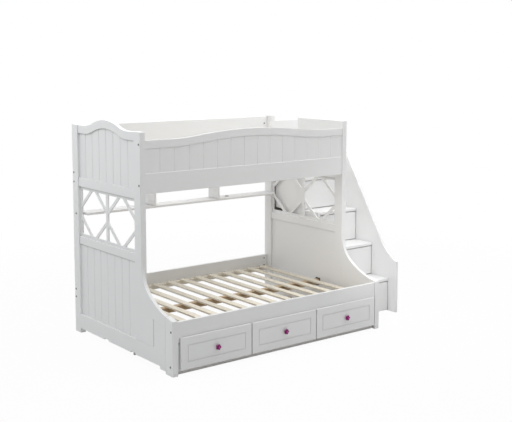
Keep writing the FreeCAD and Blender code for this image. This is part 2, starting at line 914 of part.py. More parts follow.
def flower_knob(name, x, face, z):
    """A flower-shaped knob on a short stem."""
    body = new_body(name)
    stem = body.newObject("PartDesign::AdditiveCylinder", name + "_stem")
    bind(stem, Radius=size.knob_stem_radius, Height=size.knob_petal_level)
    body.Tip = stem
    doc.recompute()
    petal = body.newObject("PartDesign::AdditiveSphere", name + "_petal")
    bind(petal, Radius=size.knob_petal_radius)
    petal.setExpression("Placement.Base.x", size.knob_petal_reach.formula)
    petal.setExpression("Placement.Base.z", size.knob_petal_level.formula)
    body.Tip = petal
    doc.recompute()
    ring = body.newObject("PartDesign::PolarPattern", name + "_petals")
    ring.Originals = [petal]
    ring.Axis = (origin_feature(body, "Z_Axis"), [""])
    ring.Angle = 360
    body.Tip = ring
    ring.Occurrences = PETALS
    doc.recompute()
    eye = body.newObject("PartDesign::AdditiveSphere", name + "_eye")
    bind(eye, Radius=size.knob_eye_radius)
    eye.setExpression("Placement.Base.z", (size.knob_height - size.knob_eye_radius).formula)
    body.Tip = eye
    forward = FreeCAD.Rotation(FreeCAD.Vector(1, 0, 0), 90)
    body.Placement = FreeCAD.Placement(FreeCAD.Vector(), forward)
    place(body, x, face, z)
    return body


def build_under_bed_drawers():
    """Three drawers, the runners that they slide on and the boards below them."""
    count = len(UNDER_BED_DRAWERS)
    width = (size.bed_length - 2 * size.drawer_margin - (count - 1) * size.drawer_gap) / count
    face = size.side_rail_inset - size.drawer_front_gap - size.drawer_front_thick
    box_front = face + size.drawer_front_thick
    box_level = size.base_board_height + size.runner_thick
    box_depth = base_rear - box_front - size.drawer_box_back_room
    pieces = []
    runners = []
    for index, label in enumerate(UNDER_BED_DRAWERS):
        x = size.drawer_margin + index * (width + size.drawer_gap)
        front = (width, size.drawer_front_thick, size.drawer_height)
        pieces.append(drawer_front(f"{label}_drawer_front", (x, face, size.drawer_level), front))
        box_width = width - 2 * size.drawer_box_inset
        box_x = x + size.drawer_box_inset
        box = (box_width, box_depth, size.drawer_box_height)
        pieces.append(tray(f"{label}_drawer_box", (box_x, box_front, box_level), box))
        knob_z = size.drawer_level + size.drawer_height / 2
        pieces.append(flower_knob(f"{label}_drawer_knob", x + width / 2, face, knob_z))
        runners.append(build_runner(f"{label}_drawer_runner_left", box_x, -1))
        runners.append(build_runner(f"{label}_drawer_runner_right", box_x + box_width, 1))
    return pieces + [group("drawer_runners", runners), build_base_boards()]


def build_runner(name, wall, turn):
    """An L-shaped wooden runner: the drawer's wall slides on its flat and along its guide."""
    flat, guide = size.runner_width, size.runner_thick
    low = size.base_board_height
    floor_top = low + size.runner_thick
    guide_top = floor_top + size.runner_guide_height
    whole = flat + size.runner_clearance + guide
    body = new_body(name)
    sketch = sketch_on(body, "XZ_Plane", name + "_outline")
    if turn < 0:
        profile = [(ZERO, low), (whole, low), (whole, floor_top), (guide, floor_top)]
        profile += [(guide, guide_top), (ZERO, guide_top)]
        x = wall - size.runner_clearance - guide
    else:
        profile = [(ZERO, low), (whole, low), (whole, guide_top), (whole - guide, guide_top)]
        profile += [(whole - guide, floor_top), (ZERO, floor_top)]
        x = wall - flat
    outline(sketch, profile)
    length = base_rear + size.base_board_thick - size.base_board_inset
    pad(body, sketch, length, reverse=True)
    place(body, x, size.base_board_inset, ZERO)
    return body


def build_base_boards():
    """The toe board, the rear board under the runners and a block behind each front leg, which
    reaches up to the front rail."""
    plank = (clear_length, size.base_board_thick, size.base_board_height)
    toe_face = size.base_board_inset + size.toe_board_setback
    toe = board("toe_board", (size.end_thick, toe_face, ZERO), plank, rounded=False)
    rear = board("rear_base_board", (size.end_thick, base_rear, ZERO), plank, rounded=False)
    width = size.corner_block_width
    blocks = []
    for label, x, bore_x in (
        ("left", size.end_thick, size.end_thick),
        ("right", right_inside - width, right_inside - size.bolt_grip),
    ):
        corner = (x, size.base_board_inset, size.base_board_height)
        extent = (width, width, size.side_rail_level - size.base_board_height)
        blank = board(f"{label}_corner_block_blank", corner, extent, rounded=False)
        bore = (bore_x, block_line, size.leg_bolt_low, size.bolt_grip)
        blocks.append(bolted(f"{label}_corner_block", blank, [bore]))
    return group("drawer_base_boards", [toe, rear] + blocks)


landing_back = size.bed_depth - size.stair_back_thick
landing_riser = landing_back - size.landing_depth
stair_run = (landing_riser - size.stair_first_riser) / (STEPS - 1)
stair_rise = (mid_rail_level - size.landing_drop - size.stair_first_tread) / (STEPS - 1)
stair_clear = size.stair_width - 2 * size.stair_side_thick
stair_top = size.post_height - size.outer_side_drop


def riser(step):
    return size.stair_first_riser + (step - 1) * stair_run


def tread_top(step):
    if step == 0:
        return ZERO
    return size.stair_first_tread + (step - 1) * stair_rise


def build_stair_sides():
    """The sloping outer side, the stepped inner side and the back of the steps."""
    outer = new_body("stair_outer_side")
    sketch = sketch_on(outer, "YZ_Plane", "stair_outer_outline")
    front, nose = size.outer_side_front, size.outer_side_nose_height
    outline(sketch, [
        (front, ZERO),
        (size.bed_depth, ZERO),
        (size.bed_depth, stair_top),
        (size.bed_depth - size.outer_side_head_depth, stair_top),
        (size.outer_side_bend_place, size.outer_side_bend_height, -1, size.outer_side_bend_radius),
        (front + size.outer_side_nose, nose),
        (front, nose),
    ])
    pad(outer, sketch, size.stair_side_thick)
    round_edges(outer)
    place(outer, size.bed_length + size.stair_width - size.stair_side_thick, ZERO, ZERO)
    inner = new_body("stair_inner_side")
    edge = size.bed_depth - size.inner_side_back_gap
    cut = edge - size.inner_side_cut_depth
    profile = [(riser(1), ZERO), (cut, ZERO), (cut, size.inner_side_cut_height)]
    profile += [(edge, size.inner_side_cut_height), (edge, tread_top(STEPS))]
    for step in range(STEPS, 1, -1):
        profile += [(riser(step), tread_top(step)), (riser(step), tread_top(step - 1))]
    profile += [(riser(1), tread_top(1))]
    steps = sketch_on(inner, "YZ_Plane", "stair_inner_outline")
    outline(steps, profile)
    pad(inner, steps, size.stair_side_thick)
    place(inner, size.bed_length, ZERO, ZERO)
    back = board(
        "stair_back_panel",
        (size.bed_length + size.stair_side_thick, landing_back, ZERO),
        (stair_clear, size.stair_back_thick, stair_top),
    )
    return [outer, inner, back]


def build_steps():
    """Treads, and a drawer with its runners under each."""
    left = size.bed_length + size.stair_side_thick
    depth = size.landing_depth - size.step_front_thick - size.step_box_back_room
    treads = []
    pieces = []
    runners = []
    for step in range(1, STEPS + 1):
        top = tread_top(step)
        front = riser(step) - size.tread_nosing
        back = landing_back if step == STEPS else riser(step + 1) + size.tread_tuck
        under = top - size.tread_thick
        extent = (stair_clear, back - front, size.tread_thick)
        corner = (left, front, under)
        treads.append(board(f"stair_tread_{step}", corner, extent, ease=size.tread_round))
        low = tread_top(step - 1) + size.step_drawer_gap
        face_width = stair_clear - 2 * size.step_drawer_gap
        face = (face_width, size.step_front_thick, under - size.step_drawer_gap - low)
        corner = (left + size.step_drawer_gap, riser(step), low)
        pieces.append(board(f"stair_drawer_front_{step}", corner, face))
        box_y = riser(step) + size.step_front_thick
        box_low = low + size.step_runner_height
        box = (stair_clear - 2 * size.step_box_inset, depth, under - size.step_box_head_room - box_low)
        pieces.append(tray(f"stair_drawer_box_{step}", (left + size.step_box_inset, box_y, box_low), box))
        strip = (size.step_runner_width, depth, size.step_runner_height)
        strip_y = box_y + size.runner_clearance
        right = left + stair_clear - size.step_runner_width
        for label, x in (("left", left), ("right", right)):
            name = f"stair_runner_{label}_{step}"
            runners.append(board(name, (x, strip_y, low), strip, rounded=False))
    return pieces + [group("stair_treads", treads), group("stair_runners", runners)]


def build_bolts():
    """A bolt through each post into the rail behind it."""
    places = LEG_BOLTS + POST_BOLTS + LOW_BACK_BOLTS + HIGH_BACK_BOLTS + SHELF_BOLTS
    shank_length = size.end_thick + size.bolt_grip
    bolts = []
    wide, narrow = size.bolt_head_radius, size.bolt_head_top_radius
    outward = size.bolt_head_height
    socket_right = size.bed_length + outward - size.bolt_socket_depth
    for label, head_x, foot, crest, shank_x, socket_x in (
        ("left", ZERO - outward, narrow, wide, ZERO, ZERO - outward),
        ("right", size.bed_length, wide, narrow, size.bed_length - shank_length, socket_right),
    ):
        for index, (y, z) in enumerate(places, start=1):
            head = doc.addObject("Part::Cone", f"{label}_bolt_head_{index}")
            turn_along_x(head)
            bind(head, Radius1=foot, Radius2=crest, Height=outward)
            place(head, head_x, y, z)
            socket = doc.addObject("Part::Prism", f"{label}_bolt_socket_{index}")
            turn_along_x(socket)
            bind(socket, Circumradius=size.bolt_socket_radius, Height=size.bolt_socket_depth)
            place(socket, socket_x, y, z)
            hollow = doc.addObject("Part::Cut", f"{label}_bolt_hollow_head_{index}")
            hollow.Base = head
            hollow.Tool = socket
            shank = doc.addObject("Part::Cylinder", f"{label}_bolt_shank_{index}")
            turn_along_x(shank)
            bind(shank, Radius=size.bolt_radius, Height=shank_length)
            place(shank, shank_x, y, z)
            bolt = doc.addObject("Part::Fuse", f"{label}_bolt_{index}")
            bolt.Base = hollow
            bolt.Tool = shank
            bolts.append(bolt)
    return group("post_bolts", bolts)


def build_all():
    pieces = build_end_frame("left", ZERO) + build_left_head()
    pieces += build_end_frame("right", right_inside) + build_right_head()
    pieces += build_front_guard() + build_side_rails() + build_decks() + build_shelf()
    pieces += build_under_bed_drawers() + build_stair_sides() + build_steps()
    pieces.append(build_bolts())
    return pieces


def write_parts(pieces):
    """Checks every object, then writes one file for each piece."""
    doc.recompute()
    faults = [item.Label for item in doc.Objects if {"Invalid", "Error"} & set(item.State)]
    faults += [piece.Label for piece in pieces if piece.Shape.isNull() or not piece.Shape.isValid()]
    if faults:
        raise RuntimeError("Faulty objects: " + ", ".join(faults))
    os.makedirs("parts", exist_ok=True)
    for piece in pieces:
        piece.Shape.exportStep(f"parts/{piece.Label}.step")


write_parts(build_all())
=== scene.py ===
"""Finishes, small fittings, light and camera for the white bunk bed with drawer steps."""

import math

import bmesh
import bpy
from bpy.props import FloatProperty, FloatVectorProperty, PointerProperty
from mathutils import Matrix, Vector


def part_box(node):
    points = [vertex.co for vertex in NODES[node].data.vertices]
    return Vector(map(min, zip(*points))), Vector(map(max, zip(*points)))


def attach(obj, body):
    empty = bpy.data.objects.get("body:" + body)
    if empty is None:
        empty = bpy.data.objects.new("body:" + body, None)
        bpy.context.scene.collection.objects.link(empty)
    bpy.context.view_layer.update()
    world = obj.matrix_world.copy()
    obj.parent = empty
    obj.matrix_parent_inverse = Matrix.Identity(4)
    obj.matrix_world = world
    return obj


bl_info = {
    "name": "Bunk bed finishes",
    "version": (1, 0, 0),
    "blender": (4, 5, 0),
    "location": "View3D > Sidebar > Bunk bed",
    "description": "Paints, grains and lights the bunk bed and adds its small fittings",
    "category": "Material",
}

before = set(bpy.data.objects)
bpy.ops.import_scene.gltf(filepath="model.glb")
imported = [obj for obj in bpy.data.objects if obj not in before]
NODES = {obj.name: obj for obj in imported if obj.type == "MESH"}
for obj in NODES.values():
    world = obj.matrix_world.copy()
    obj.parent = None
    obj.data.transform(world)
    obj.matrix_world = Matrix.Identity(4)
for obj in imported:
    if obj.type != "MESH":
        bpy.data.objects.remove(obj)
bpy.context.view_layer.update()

WHITE = (1.0, 1.0, 1.0, 1.0)

# What the packed model's boxes don't give: counts, sizes in metres and parts of names
SLAT_COUNT = 13
SLAT_WIDTH = 0.055
HANGER_THICK = 0.018
ENDS = ("left", "right")
UNDER_BED_DRAWERS = ("left", "middle", "right")
STEPS = (1, 2, 3, 4)

# Painted boards by the way that their length runs
BOARDS_ALONG_X = (
    ["back_guard", "drawer_base_boards", "front_guard_bottom_rail"]
    + ["lower_back_rail", "lower_front_rail", "stair_treads"]
    + [f"{side}_drawer_front" for side in UNDER_BED_DRAWERS]
    + [f"stair_drawer_front_{step}" for step in STEPS]
)
RAILS = ("bottom_rail", "cross_rails", "top_rail")
BOARDS_ALONG_Y = [f"{end}_{piece}" for end in ENDS for piece in RAILS]
UPRIGHTS = ("back_post", "curved_brace", "front_leg", "front_post", "upper_panel", "window_lattice")
BOARDS_ALONG_Z = (
    [f"{end}_{piece}" for end in ENDS for piece in UPRIGHTS]
    + ["centre_beam_legs", "left_lower_panel", "right_gate_stile", "shelf_hangers"]
    + ["stair_back_panel", "stair_inner_side", "stair_outer_side"]
)
# Boards along X whose tops get painted shade
SHADED_TOP_BOARDS = ("back_shelf", "front_guard_top_rail")

# Pieces of the drawers that aren't painted
DRAWER_BOXES = [f"{side}_drawer_box" for side in UNDER_BED_DRAWERS]
STEP_BOXES = [f"stair_drawer_box_{step}" for step in STEPS]
KNOBS = [f"{side}_drawer_knob" for side in UNDER_BED_DRAWERS]

# Ends of barrel nuts: the rail, the place as a share of its height, and the face of the rail
NUT_PLACES = (
    ("back_guard", 0.22, "front"),
    ("back_guard", 0.87, "front"),
    ("lower_back_rail", 0.36, "front"),
    ("lower_back_rail", 0.79, "front"),
    ("lower_front_rail", 0.55, "back"),
    ("front_guard_bottom_rail", 0.43, "back"),
)
# Turns about X that point an upright axis at the front or at the back
FACE_TURNS = {"front": math.radians(90.0), "back": math.radians(-90.0)}

# Sides of the round fittings, and the angle from which their edges are sharp
HEAD_SIDES = 24
CAP_SIDES = 28
RING_SIDES = 32
SHARP_ANGLE = math.radians(35.0)

# Strength of the materials' relief, and its heights in metres
BUMP_STRENGTH = 0.5
PAINT_RELIEF = 0.00025
WOOD_RELIEF = 0.0004


def colour_setting(name, description, default):
    return FloatVectorProperty(
        name=name, description=description, default=default, size=3, min=0.0, max=1.0, subtype="COLOR"
    )


def length_setting(name, description, default):
    return FloatProperty(
        name=name, description=description, default=default, unit="LENGTH", precision=4
    )


def share_setting(name, description, default):
    return FloatProperty(
        name=name, description=description, default=default, min=0.0, max=1.0, subtype="FACTOR"
    )


def power_setting(name, description, default):
    return FloatProperty(name=name, description=description, default=default, min=0.0, unit="POWER")


def angle_setting(name, description, degrees):
    return FloatProperty(
        name=name, description=description, default=math.radians(degrees), subtype="ANGLE"
    )


def millimetre_setting(name, description, default):
    return FloatProperty(name=name, description=description, default=default, unit="CAMERA")


def number_setting(name, description, default):
    return FloatProperty(name=name, description=description, default=default)


class BunkBedFinishes(bpy.types.PropertyGroup):
    """Colours and gloss of the bed's surfaces"""

    paint: colour_setting("Paint", "White satin paint on the boards", (0.87, 0.87, 0.868))
    paint_roughness: share_setting("Paint roughness", "Roughness of the satin paint", 0.42)
    paint_shade: share_setting("Paint shade", "How much the paint's tone changes over a board", 0.014)
    # Painted shade: levels of the paint under the rails, on the right lower panel and on the tops; the
    # front guard's level above 1 is painted light
    corner_shade: share_setting("Corner shade", "Level of the paint close under the rails", 0.68)
    inner_shade: share_setting("Inner shade", "The same on the right end's lower panel", 0.92)
    guard_painted_light: number_setting("Guard shade", "The same on the front guard, where it lightens", 1.12)
    top_shade: share_setting("Top shade", "Level of the paint on the tops of shelf and guard", 0.88)
    pine_early: colour_setting("Pine", "Pale early wood of the slats", (0.84, 0.797, 0.70))
    pine_late: colour_setting("Pine rings", "Darker late wood of the slats", (0.765, 0.68, 0.54))
    pine_knot: colour_setting("Pine knots", "Knots in the slats", (0.30, 0.15, 0.06))
    upper_early: colour_setting("Upper pine", "Paler early wood of the upper slats", (0.85, 0.825, 0.765))
    upper_late: colour_setting("Upper pine rings", "Late wood of the upper slats", (0.79, 0.735, 0.64))
    stain_early: colour_setting("Stain", "Stained wood of the middle beam", (0.62, 0.475, 0.315))
    stain_late: colour_setting("Stain rings", "Darker rings of the middle beam", (0.43, 0.31, 0.185))
    stain_knot: colour_setting("Stain knots", "Knots in the middle beam", (0.12, 0.065, 0.035))
    box_early: colour_setting("Drawer wood", "Pale wood of the drawer boxes", (0.74, 0.62, 0.45))
    box_late: colour_setting("Drawer wood rings", "Rings of the drawer boxes", (0.63, 0.49, 0.32))
    box_knot: colour_setting("Drawer wood knots", "Pin knots in the drawer boxes", (0.40, 0.26, 0.13))
    bolt: colour_setting("Bolts", "Dark plated steel of the bolts and screws", (0.17, 0.165, 0.16))
    bolt_rub: colour_setting("Rubbed bolts", "Steel where the plating is rubbed", (0.38, 0.375, 0.37))
    bracket: colour_setting("Bracket", "Black coating of the beam brackets", (0.025, 0.025, 0.027))
    bracket_rub: colour_setting("Rubbed bracket", "The coating where it is rubbed", (0.075, 0.075, 0.078))
    ring: colour_setting("Cord ring", "Grey coating of the cord hole's ring", (0.42, 0.42, 0.42))
    ring_rub: colour_setting("Rubbed cord ring", "The ring where it is rubbed", (0.55, 0.55, 0.55))
    knob_petal: colour_setting("Knob petals", "Deep purple of the flower knobs", (0.25, 0.003, 0.145))
    knob_eye: colour_setting("Knob eye", "Lighter purple of the flower's eye", (0.54, 0.08, 0.36))


class BunkBedFittings(bpy.types.PropertyGroup):
    """Sizes of the small fittings"""

    screw_radius: length_setting("Screw radius", "Radius of a slat screw's head", 0.0042)
    screw_rise: length_setting("Screw rise", "Height of a screw's head over the slat", 0.0007)
    screw_inset: length_setting("Screw inset", "Distance of a screw from the slat's end", 0.022)
    screw_back_inset: length_setting("Back screw inset", "The same at the back of the wide deck", 0.009)
    screw_spread: length_setting("Screw spread", "Distance between the two screws of an end", 0.027)
    cap_radius: length_setting("Cap radius", "Radius of a cover cap on a shelf hanger", 0.009)
    cap_rise: length_setting("Cap rise", "Height of a cover cap over the board", 0.0016)
    cap_level: length_setting("Cap level", "Height of a cap's middle over the shelf", 0.034)
    nut_radius: length_setting("Nut radius", "Radius of a barrel nut's end in a rail", 0.0065)
    nut_inset: length_setting("Nut inset", "Distance of a barrel nut from the rail's end", 0.034)
    nut_rise: length_setting("Nut rise", "Height of a nut's end over the rail's face", 0.0012)
    grommet_radius: length_setting("Grommet radius", "Outer radius of the cord hole's ring", 0.018)
    grommet_rise: length_setting("Grommet rise", "Height of the ring over the shelf", 0.0080)
    grommet_offset: length_setting("Grommet offset", "Distance of the ring from the hanger", 0.129)


class BunkBedStage(bpy.types.PropertyGroup):
    """Floor, light and camera"""

    overhead_power: power_setting("Overhead light", "Watts of the wide light over the bed", 119.5)
    stairs_power: power_setting("Light over the steps", "Watts of the light over the steps", 36.5)
    back_power: power_setting("Backdrop light", "Watts of the wide light behind the bed", 144.8)
    step_front_power: power_setting("Light on the step fronts", "Watts of the light aimed at them", 0.9)
    step_front_spread: angle_setting("Spread on the step fronts", "Width of that light's beam", 60.0)
    left_power: power_setting("Left light", "Watts of the light high up beside the left end", 15.0)
    left_tint: colour_setting("Left tint", "Colour of the light beside the left end", (0.72, 0.91, 1.0))
    ambient: number_setting("Ambient", "Level of the light from all round", 0.304)
    ambient_tint: colour_setting("Ambient tint", "Colour of the light from all round", (1.0, 1.0, 1.0))
    floor: colour_setting("Floor", "Colour of the studio floor", (0.82, 0.82, 0.82))
    floor_white: share_setting("Floor white", "Share of plain white in the floor that is seen", 0.95)
    floor_near: length_setting("Near floor", "Distance at which the floor begins to whiten", 2.0)
    floor_far: length_setting("Far floor", "Distance at which the floor is all white", 5.0)
    floor_reach: length_setting("Floor reach", "Half the width of the floor", 220.0)
    lens: millimetre_setting("Lens", "Focal length in millimetres", 67.171)
    sensor: millimetre_setting("Frame width", "Width of the camera's frame in millimetres", 36.0)
    lens_shift: number_setting("Lens shift", "Upward shift as a share of the width", -0.0996)
    far_clip: length_setting("Far clip", "Distance beyond which the camera sees nothing", 500.0)
    camera_x: length_setting("Camera X", "Place of the camera along the bed", -4.70407)
    camera_y: length_setting("Camera Y", "Place of the camera across the bed", -6.15850)
    camera_z: length_setting("Camera Z", "Height of the camera", 2.22383)
    camera_turn: angle_setting("Camera turn", "Turn from straight back to the right", 37.603)
    camera_dip: angle_setting("Camera dip", "Dip of the view below the horizon", 6.227)


def settings():
    """The scene's settings in three groups: finishes, fittings and stage."""
    scene = bpy.context.scene
    return scene.bunk_bed_finishes, scene.bunk_bed_fittings, scene.bunk_bed_stage


def put(tree, kind, choices=None, inputs=None):
    """Adds a node in the next place of a grid, makes its choices and fills or links its inputs."""
    rows, width, height = 4, 180.0, 220.0
    node = tree.nodes.new(kind)
    column, row = divmod(len(tree.nodes), rows)
    node.location = (width * column, -height * row)
    for name, choice in (choices or {}).items():
        setattr(node, name, choice)
    for name, value in (inputs or {}).items():
        if isinstance(value, bpy.types.NodeSocket):
            tree.links.new(value, node.inputs[name])
        else:
            node.inputs[name].default_value = value
    return node


def combine(tree, operation, first, second=0.0):
    """One sum, product or other rule on two numbers."""
    node = put(tree, "ShaderNodeMath", {"operation": operation}, {0: first, 1: second})
    return node.outputs["Value"]


def scale_and_add(tree, value, factor, start):
    return combine(tree, "ADD", combine(tree, "MULTIPLY", value, factor), start)


def sway(tree, value, reach):
    """How far a noise of 0 to 1 lies from its middle, times a reach."""
    return combine(tree, "MULTIPLY", combine(tree, "SUBTRACT", value, 0.5), reach)


def vector_rule(tree, operation, *vectors):
    """One rule on one or two vectors."""
    return put(tree, "ShaderNodeVectorMath", {"operation": operation}, dict(enumerate(vectors))).outputs


def scale_vector(tree, vector, factors):
    return vector_rule(tree, "MULTIPLY", vector, factors)["Vector"]


def add_vectors(tree, first, second):
    return vector_rule(tree, "ADD", first, second)["Vector"]


def along_y(tree, value):
    """A vector of this length along Y."""
    return put(tree, "ShaderNodeCombineXYZ", None, {"Y": value}).outputs["Vector"]


def blend_colours(tree, share, first, second):
    """Goes from the first colour to the second as the share goes from 0 to 1."""
    share_in, first_in, second_in, colour_out = 0, 6, 7, 2
    inputs = {share_in: share, first_in: first, second_in: second}
    return put(tree, "ShaderNodeMix", {"data_type": "RGBA"}, inputs).outputs[colour_out]


def noise(tree, vector, scale=1.0, detail=2.0, roughness=0.5):
    """A soft noise of about 0 to 1."""
    inputs = {"Vector": vector, "Scale": scale, "Detail": detail, "Roughness": roughness}
    return put(tree, "ShaderNodeTexNoise", None, inputs).outputs["Fac"]


def spread_to(tree, value, low, high, first=0.0, last=1.0):
    """Maps low..high of a value to first..last with soft ends."""
    inputs = {"Value": value, "From Min": low, "From Max": high, "To Min": first, "To Max": last}
    ends = {"interpolation_type": "SMOOTHSTEP"}
    return put(tree, "ShaderNodeMapRange", ends, inputs).outputs["Result"]


def brighten(tree, colour, level):
    """Makes a colour lighter at a level above 1 and darker at a level below it."""
    inputs = {"Color": colour, "Value": level}
    return put(tree, "ShaderNodeHueSaturation", None, inputs).outputs["Color"]


def object_place(tree):
    """The place of the shaded point in its object's own frame."""
    return put(tree, "ShaderNodeTexCoord").outputs["Object"]


def surface_normal(tree):
    return put(tree, "ShaderNodeNewGeometry").outputs["Normal"]


def new_group(name, inputs, outputs):
    """A shader node group with its sockets, its inner inputs and its inner outputs."""
    tree = bpy.data.node_groups.new(name, "ShaderNodeTree")
    for label, kind in inputs.items():
        tree.interface.new_socket(name=label, in_out="INPUT", socket_type="NodeSocket" + kind)
    for label, kind in outputs.items():
        tree.interface.new_socket(name=label, in_out="OUTPUT", socket_type="NodeSocket" + kind)
    return tree, put(tree, "NodeGroupInput").outputs, put(tree, "NodeGroupOutput").inputs


# What every shared surface group puts out
SURFACE = {"Colour": "Color", "Roughness": "Float", "Height": "Float"}


def paint_film_group():
    """Sprayed satin paint: a slow change of tone, faint streaks along the board and orange peel."""
    slow_scale, peel_scale = 2.6, 420.0
    streak_gloss, streak_relief, peel_relief = 0.16, 0.4, 0.6
    inputs = {"Colour": "Color", "Roughness": "Float", "Shade": "Float", "Streak Scale": "Vector"}
    tree, given, result = new_group("paint_film", inputs, SURFACE)
    place = object_place(tree)
    slow = noise(tree, place, slow_scale, detail=3.0)
    stretched = scale_vector(tree, place, given["Streak Scale"])
    streak = noise(tree, stretched, detail=4.0, roughness=0.6)
    peel = noise(tree, place, peel_scale)
    drift = combine(tree, "ADD", sway(tree, slow, given["Shade"]), sway(tree, streak, given["Shade"]))
    level = combine(tree, "ADD", drift, 1.0)
    tree.links.new(brighten(tree, given["Colour"], level), result["Colour"])
    rough = combine(tree, "ADD", given["Roughness"], sway(tree, streak, streak_gloss))
    tree.links.new(rough, result["Roughness"])
    relief = scale_and_add(tree, peel, peel_relief, combine(tree, "MULTIPLY", streak, streak_relief))
    tree.links.new(relief, result["Height"])
    return tree


def wood_rings(tree, given, own, knots, kept):
    """The growth rings of a board, which wander along it and bend round its knots."""
    bend_scale, bend_reach = (1.3, 9.0, 9.0), 0.055
    knot_edge, knot_middle, knot_swirl = 0.34, 0.05, 0.012
    stretch, late_power = (0.12, 1.0, 1.0), 2.2
    bend = noise(tree, scale_vector(tree, own, bend_scale))
    flow = along_y(tree, combine(tree, "MULTIPLY", bend, bend_reach))
    near = spread_to(tree, knots["Distance"], knot_edge, knot_middle)
    swirl = combine(tree, "MULTIPLY", combine(tree, "MULTIPLY", near, kept), knot_swirl)
    wandering = scale_vector(tree, add_vectors(tree, own, flow), stretch)
    inputs = {"Vector": add_vectors(tree, wandering, along_y(tree, swirl)), "Scale": given["Ring Scale"]}
    inputs |= {"Distortion": 2.2, "Detail": 2.0, "Detail Scale": 2.4}
    bands = {"wave_type": "BANDS", "bands_direction": "Y", "wave_profile": "SAW"}
    rings = put(tree, "ShaderNodeTexWave", bands, inputs).outputs["Fac"]
    return combine(tree, "POWER", rings, late_power)


def wood_grain_group():
    """Sawn softwood with its grain along X: rings, fibres and knots, and its own draw for each board."""
    draw_reach, knot_scale = (9.0, 3.0, 3.0), (3.4, 15.0, 15.0)
    heart_edge, heart_middle, heart_gloss = 0.17, 0.07, 0.15
    fibre_scale, patch_scale = (16.0, 620.0, 620.0), (2.0, 7.0, 7.0)
    fibre_shade, fibre_level, patch_shade, board_shade = 0.20, 0.86, 0.16, 0.12
    fibre_gloss, smoothest, fibre_relief, ring_relief = 0.22, 0.50, 0.7, 0.3
    inputs = {"Vector": "Vector", "Early": "Color", "Late": "Color", "Knot": "Color"}
    inputs |= {"Board Start": "Float", "Board Pitch": "Float", "Ring Scale": "Float", "Knot Share": "Float"}
    tree, given, result = new_group("wood_grain", inputs, SURFACE)
    parts = put(tree, "ShaderNodeSeparateXYZ", None, {"Vector": given["Vector"]}).outputs
    across = combine(tree, "SUBTRACT", parts["Y"], given["Board Start"])
    board = combine(tree, "FLOOR", combine(tree, "DIVIDE", across, given["Board Pitch"]))
    draw = put(tree, "ShaderNodeTexWhiteNoise", {"noise_dimensions": "1D"}, {"W": board}).outputs
    own = add_vectors(tree, given["Vector"], scale_vector(tree, draw["Color"], draw_reach))
    knot_inputs = {"Vector": scale_vector(tree, own, knot_scale), "Scale": 1.0}
    knots = put(tree, "ShaderNodeTexVoronoi", None, knot_inputs).outputs
    chance = put(tree, "ShaderNodeSeparateColor", None, {"Color": knots["Color"]}).outputs["Red"]
    kept = combine(tree, "LESS_THAN", chance, given["Knot Share"])
    heart = combine(tree, "MULTIPLY", spread_to(tree, knots["Distance"], heart_edge, heart_middle), kept)
    late = wood_rings(tree, given, own, knots, kept)
    fibre = noise(tree, scale_vector(tree, own, fibre_scale), detail=3.0, roughness=0.65)
    patch = noise(tree, scale_vector(tree, own, patch_scale))
    wood = blend_colours(tree, late, given["Early"], given["Late"])
    level = scale_and_add(tree, fibre, fibre_shade, fibre_level)
    level = combine(tree, "ADD", level, sway(tree, patch, patch_shade))
    level = combine(tree, "ADD", level, sway(tree, draw["Value"], board_shade))
    wood = blend_colours(tree, heart, brighten(tree, wood, level), given["Knot"])
    tree.links.new(wood, result["Colour"])
    rough = scale_and_add(tree, fibre, fibre_gloss, smoothest)
    rough = combine(tree, "SUBTRACT", rough, combine(tree, "MULTIPLY", heart, heart_gloss))
    tree.links.new(rough, result["Roughness"])
    relief = scale_and_add(tree, fibre, fibre_relief, combine(tree, "MULTIPLY", late, ring_relief))
    tree.links.new(relief, result["Height"])
    return tree


def rubbed_surface_group():
    """Plated, coated or moulded small parts: rubbed patches, fine scratches and some unevenness."""
    scratch_scale, grain_scale = (260.0, 260.0, 2400.0), 1500.0
    whole, worn_through, patch_gloss = 0.20, 0.42, 0.24
    inputs = {"Colour": "Color", "Rubbed": "Color", "Rub Share": "Float"}
    inputs |= {"Scale": "Float", "Roughness": "Float"}
    tree, given, result = new_group("rubbed_surface", inputs, SURFACE)
    place = object_place(tree)
    patch = noise(tree, place, given["Scale"], detail=4.0, roughness=0.6)
    scratch = noise(tree, scale_vector(tree, place, scratch_scale))
    grain = noise(tree, place, grain_scale, detail=1.0)
    worn = spread_to(tree, combine(tree, "MULTIPLY", patch, scratch), whole, worn_through)
    share = combine(tree, "MULTIPLY", worn, given["Rub Share"])
    tree.links.new(blend_colours(tree, share, given["Colour"], given["Rubbed"]), result["Colour"])
    rough = combine(tree, "ADD", given["Roughness"], sway(tree, patch, patch_gloss))
    tree.links.new(rough, result["Roughness"])
    tree.links.new(combine(tree, "ADD", scratch, grain), result["Height"])
    return tree


def shared_group(name, make):
    """The node group with this name, made when it is first asked for."""
    return bpy.data.node_groups.get(name) or make()


def colour_of(value):
    """A setting's colour with full opacity."""
    return (*value, 1.0)


def surface_material(name, group, values, relief, shader=None):
    """A material whose colour, roughness and relief come from one of the shared groups."""
    material = bpy.data.materials.new(name)
    material.use_nodes = True
    tree = material.node_tree
    bsdf = tree.nodes["Principled BSDF"]
    for label, value in (shader or {}).items():
        bsdf.inputs[label].default_value = value
    surface = put(tree, "ShaderNodeGroup", {"node_tree": group}, values).outputs
    tree.links.new(surface["Colour"], bsdf.inputs["Base Color"])
    tree.links.new(surface["Roughness"], bsdf.inputs["Roughness"])
    relief_inputs = {"Distance": relief, "Strength": BUMP_STRENGTH, "Height": surface["Height"]}
    bump = put(tree, "ShaderNodeBump", None, relief_inputs)
    tree.links.new(bump.outputs["Normal"], bsdf.inputs["Normal"])
    return material


def base_colour(material):
    """The socket that takes a material's colour, and the one that feeds it."""
    base = material.node_tree.nodes["Principled BSDF"].inputs["Base Color"]
    return base, base.links[0].from_socket


